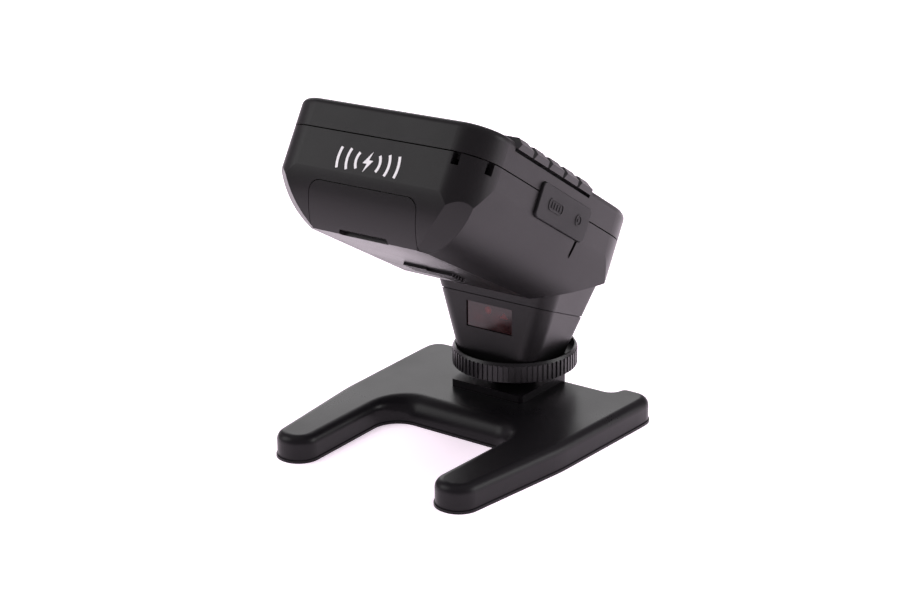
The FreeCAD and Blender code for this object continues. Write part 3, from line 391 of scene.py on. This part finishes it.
def character(text, size, height):
    # one generic letter, made a mesh and centred on its own middle
    curve = bpy.data.curves.new("character", "FONT")
    curve.body, curve.size, curve.extrude, curve.resolution_u = text, size, height / 2, 3
    holder = bpy.data.objects.new("character", curve)
    bpy.context.scene.collection.objects.link(holder)
    graph = bpy.context.evaluated_depsgraph_get()
    mesh = bpy.data.meshes.new_from_object(holder.evaluated_get(graph))
    bpy.data.objects.remove(holder)
    points = np.empty(len(mesh.vertices) * 3)
    mesh.vertices.foreach_get("co", points)
    points = points.reshape(-1, 3)
    faces = [list(face.vertices) for face in mesh.polygons]
    bpy.data.meshes.remove(mesh)
    centre = (points.min(0) + points.max(0)) / 2
    return points - (centre[0], centre[1], -height / 2), faces


def marks(name, shapes, place, body, finish):
    # the shapes as one piece, carried from their plane to the head by place
    points, faces, count = [], [], 0
    for corners, sides in shapes:
        points.append(corners)
        faces += [[corner + count for corner in side] for side in sides]
        count += len(corners)
    mesh = bpy.data.meshes.new(name)
    mesh.from_pydata(place(np.vstack(points)).tolist(), [], faces)
    work = bmesh.new()
    work.from_mesh(mesh)
    bmesh.ops.remove_doubles(work, verts=work.verts, dist=1e-7)
    bmesh.ops.recalc_face_normals(work, faces=work.faces)
    work.to_mesh(mesh)
    work.free()
    mesh.materials.append(finishes[finish].material)
    piece = bpy.data.objects.new(name, mesh)
    bpy.context.scene.collection.objects.link(piece)
    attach(piece, body)


def inked(name, shapes, place, body):
    marks(name, shapes, place, body, "print_ink")


def onTop(n):
    # (x, v) on a face at height n
    return lambda p: fromCase(np.c_[p[:, 0], p[:, 1], n + p[:, 2]])


def onFront(p):
    # (x, n) on the front
    return fromCase(np.c_[p[:, 0], -p[:, 2], p[:, 1]])


def onSide(x):
    # (v, n) on a side at x, raised away from the middle
    return lambda p: fromCase(np.c_[x + math.copysign(1, x) * p[:, 2], p[:, 0], p[:, 1]])


def turnedToReader(shape, x, v):
    # the operator reads from the rear end, so a character is turned by half a turn
    points, faces = shape
    return points * (-1, -1, 1) + (x, v, 0), faces


sparkShape = np.array([(0.9, 3.1), (-1.7, -0.5), (-0.2, -0.5), (-0.9, -3.1), (1.7, 0.6), (0.2, 0.6)])

# Emblem on the front: a spark with waves either side, standing for the radio link
emblemSpec = {"x": -0.6, "n": -7.2, "stroke": 0.85, "height": 0.06, "spread": 34,
              "waves": ((4.2, 1), (7.4, 0.72), (10.6, 0.5))}     # radius, share of the spread
centre = (emblemSpec["x"], emblemSpec["n"])
waves = [stroke(arc(centre, radius, side + emblemSpec["spread"] * share,
                    side - emblemSpec["spread"] * share), emblemSpec["stroke"], emblemSpec["height"])
         for side in (0, 180) for radius, share in emblemSpec["waves"]]
inked("emblem", waves + [plate(sparkShape + centre, emblemSpec["height"])], onFront, "trigger")

# Port cover: a socket outline with ribs and a round socket with its pin, moulded in
portSpec = {"x": 36.6, "n": -1.6, "height": 0.22, "stroke": 0.4, "usb_v": 41.0, "usb_half": (3.9, 1.55),
            "usb_round": 1.2, "rib": 0.45, "rib_half": 0.9, "rib_pitch": 1.5, "sync_v": 54.6,
            "sync_r": 1.5, "pin_r": 0.5}
portHigh, portN = portSpec["height"], portSpec["n"]
syncPlace = (portSpec["sync_v"], portN)
ribPlaces = [portSpec["usb_v"] + step * portSpec["rib_pitch"] for step in (-1.5, -0.5, 0.5, 1.5)]
ribEnds = (portN - portSpec["rib_half"], portN + portSpec["rib_half"])
portShapes = [stroke(roundedBox(portSpec["usb_v"], portN, *portSpec["usb_half"], portSpec["usb_round"]),
                     portSpec["stroke"], portHigh, closed=True)]
portShapes += [stroke([(v, end) for end in ribEnds], portSpec["rib"], portHigh) for v in ribPlaces]
portShapes += [stroke(circle(syncPlace, portSpec["sync_r"]), portSpec["stroke"], portHigh, closed=True),
               plate(circle(syncPlace, portSpec["pin_r"], 14), portHigh)]
marks("port_icons", portShapes, onSide(portSpec["x"]), "port_flap", "flap_skin")

# Legends on the keys
legendSpec = {"height": 0.05, "line": 0.32, "letter": 3.4, "group_x": 30.8, "group_v": 20.3,
              "group_pitch": 8.85, "group_n": 10.9, "key_n": 9.8, "function_x": -4.2,
              "function_v": 65.6, "function_pitch": 13, "function_half": 1.6}
high, line = legendSpec["height"], legendSpec["line"]
for number, letter in enumerate("ABCDE", 1):
    v = legendSpec["group_v"] + legendSpec["group_pitch"] * (number - 1)
    shape = turnedToReader(character(letter, legendSpec["letter"], high), legendSpec["group_x"], v)
    inked(f"group_letter_{number}", [shape], onTop(legendSpec["group_n"]), f"group_button_{number}")
for number in range(1, 5):
    x = legendSpec["function_x"] + legendSpec["function_pitch"] * (number - 2.5)
    ends = [(x + side * legendSpec["function_half"], legendSpec["function_v"]) for side in (-1, 1)]
    inked(f"function_mark_{number}", [stroke(ends, line, high)], onTop(legendSpec["key_n"]),
          f"function_button_{number}")

keyPlaces = {"mode": (19.6, 75), "zoom": (7, 75), "convert": (7, 84), "test": (19.6, 84)}
keyIcons = {                              # drawn about the key's middle, in millimetres
    "mode": [stroke(roundedBox(0, 0, 1.3, 1.0, 0.4), line, high, closed=True),
             stroke([(-2.5, 0), (-2, 0)], line, high), stroke([(2, 0), (2.5, 0)], line, high)],
    "zoom": [stroke(circle((-0.3, -0.2), 0.95), line, high, closed=True),
             stroke([(0.45, 0.5), (1.3, 1.3)], line, high)],
    "convert": [stroke([(-1.8, -0.6), (1.8, -0.6), (1, -1.2)], line, high),
                stroke([(1.8, 0.6), (-1.8, 0.6), (-1, 1.2)], line, high)],
    "test": [plate(sparkShape * (0.42, -0.42), high)],
}
for key, shapes in keyIcons.items():
    shapes = [(points + (*keyPlaces[key], 0), faces) for points, faces in shapes]
    inked(f"{key}_icon", shapes, onTop(legendSpec["key_n"]), f"{key}_button")

# Dial and set key
dialSpec = {"place": (-15, 80.5), "face_n": 10.5, "tip_r": 8.0, "base_r": 7.1, "base_turn": 6,
            "set_n": 10.4, "set_r": 1.2}
arrows = [plate(np.vstack([
    arc(dialSpec["place"], dialSpec["tip_r"], angle, angle, 1),
    arc(dialSpec["place"], dialSpec["base_r"], angle - dialSpec["base_turn"],
        angle + dialSpec["base_turn"], 2)]), high) for angle in (0, 90, 180, 270)]
inked("dial_arrows", arrows, onTop(dialSpec["face_n"]), "dial")
setRing = stroke(circle(dialSpec["place"], dialSpec["set_r"]), line, high, closed=True)
inked("set_mark", [setRing], onTop(dialSpec["set_n"]), "set_button")

# Marks beside the two side switches: a bar and a dot for on, rings for off
switchSpec = {"x": -35.7, "n": -9.3, "power_v": (33.4, 38.6), "lamp_v": (53.4, 58.6), "reach": 0.8,
              "dot": 0.5}
(onV, offV), (litV, darkV), markN = switchSpec["power_v"], switchSpec["lamp_v"], switchSpec["n"]
markReach = switchSpec["reach"]


def offRing(v):
    return stroke(circle((v, markN), markReach), line, high, closed=True)


switchShapes = [stroke([(onV, markN - markReach), (onV, markN + markReach)], line, high),
                offRing(offV), plate(circle((litV, markN), switchSpec["dot"], 14), high),
                offRing(darkV)]
inked("switch_marks", switchShapes, onSide(switchSpec["x"]), "trigger")

# What the display shows: five group rows, each with its letter, a level and a frame
screenSpec = {"x": -4.2, "first_v": 20.78, "pitch": 8.2, "glass_n": 6.8, "height": 0.03,
              "segment": 0.42, "segment_gap": 0.12, "figure": 1.7, "figure_pitch": 3,
              "rule": 0.16, "frame": 0.25, "slash": 0.35, "letter": 4.4,
              "levels": ("16", "8", "64", "32", "16")}
rowSpec = {"letter": (18.5, -1.5), "share": (8, 0), "slash": ((4.8, 0), (3.4, -3.4)),
           "level": (2.2, 0), "rule": ((-20, 2.1), (21, 2.1)), "frame": (-14, -1.7),
           "frame_half": (2.6, 1.4), "frame_round": 0.5}      # (x, v) from the row's own place
segmentsOf = {"1": "bc", "2": "abged", "3": "abgcd", "4": "fgbc", "6": "afgedc", "8": "abcdefg"}
segmentEnds = {"a": ((0, 2), (1, 2)), "b": ((1, 2), (1, 1)), "c": ((1, 1), (1, 0)),
               "d": ((0, 0), (1, 0)), "e": ((0, 0), (0, 1)), "f": ((0, 1), (0, 2)),
               "g": ((0, 1), (1, 1))}
screenHigh = screenSpec["height"]


def figure(digit, place):
    # up to seven bars, each drawn in at both ends by a share of its length
    bars = []
    for segment in segmentsOf[digit]:
        path = np.array(segmentEnds[segment]) * -screenSpec["figure"] + place
        short = (path[1] - path[0]) * screenSpec["segment_gap"]
        bars.append(stroke([path[0] + short, path[1] - short], screenSpec["segment"], screenHigh))
    return bars


rows = []
for number, level in enumerate(screenSpec["levels"]):
    rowPlace = np.array([screenSpec["x"], screenSpec["first_v"] + screenSpec["pitch"] * number])
    places = {part: rowPlace + rowSpec[part] for part in rowSpec if not part.startswith("frame_")}
    letter = character("ABCDE"[number], screenSpec["letter"], screenHigh)
    rows.append(turnedToReader(letter, *places["letter"]))
    rows += figure("1", places["share"])
    rows.append(stroke(places["slash"], screenSpec["slash"], screenHigh))
    for step, digit in enumerate(level):
        rows += figure(digit, places["level"] - (step * screenSpec["figure_pitch"], 0))
    rows.append(stroke(places["rule"], screenSpec["rule"], screenHigh))
    frameBox = roundedBox(*places["frame"], *rowSpec["frame_half"], rowSpec["frame_round"])
    rows.append(stroke(frameBox, screenSpec["frame"], screenHigh, closed=True))
marks("screen_segments", rows, onTop(screenSpec["glass_n"]), "trigger", "screen_ink")
print("marks and legends made")


# Floor and light

def addStage(spec):
    mesh = bpy.data.meshes.new("floor")
    size = spec["size"]
    corners = [(-size, -size, 0), (size, -size, 0), (size, size, 0), (-size, size, 0)]
    mesh.from_pydata(corners, [], [(0, 1, 2, 3)])
    floor = bpy.data.objects.new("floor", mesh)
    bpy.context.scene.collection.objects.link(floor)
    finish = Finish("floor_paper")
    finish.set(Base_Color=spec["colour"], Roughness=0.8, Specular_IOR_Level=0.2,
               Emission_Color=spec["colour"], Emission_Strength=spec["glow"])
    mesh.materials.append(finish.material)
    world = bpy.data.worlds.new("studio")
    bpy.context.scene.world = world
    world.use_nodes = True
    background = world.node_tree.nodes["Background"]
    background.inputs["Color"].default_value = spec["sky"]
    background.inputs["Strength"].default_value = spec["sky_strength"]


def addLight(name, spec):
    data = bpy.data.lights.new(name, "AREA")
    data.shape, data.energy = "RECTANGLE", spec["power"]
    data.size, data.size_y = spec["wide"], spec["deep"]
    light = bpy.data.objects.new(name, data)
    light.location = spec["place"]
    light.visible_glossy = spec.get("mirrored", True)      # False keeps it out of the glass
    beam = Vector(spec["aim"]) - Vector(spec["place"])
    light.rotation_euler = beam.to_track_quat("-Z", "Y").to_euler()
    bpy.context.scene.collection.objects.link(light)


stageSpec = {"size": 6.0, "colour": (0.9, 0.8, 0.885, 1), "glow": 0.65, "sky": (1, 0.9, 0.985, 1),
             "sky_strength": 0.3}
lightSpecs = {
    "softbox_top": {"place": (-0.1, 0.35, 1.3), "aim": (0, 0.05, 0.03), "wide": 1.6, "deep": 1.4,
                    "power": 30, "mirrored": False},
    "softbox_back": {"place": (-0.9, 1.0, 0.5), "aim": (0, 0, 0.05), "wide": 0.9, "deep": 0.7,
                     "power": 3.5},
    "softbox_left": {"place": (-1.0, -0.75, 0.85), "aim": (0, 0, 0.08), "wide": 0.8, "deep": 0.9,
                     "power": 5.5},
    "softbox_right": {"place": (1.15, 0.75, 0.45), "aim": (0, 0, 0.08), "wide": 0.7, "deep": 0.7,
                      "power": 6},
}
addStage(stageSpec)
addCamera(cameraSpec)
for name, spec in lightSpecs.items():
    addLight(name, spec)
bpy.context.scene.view_settings.view_transform = "Standard"
print("stage, camera and lights placed")
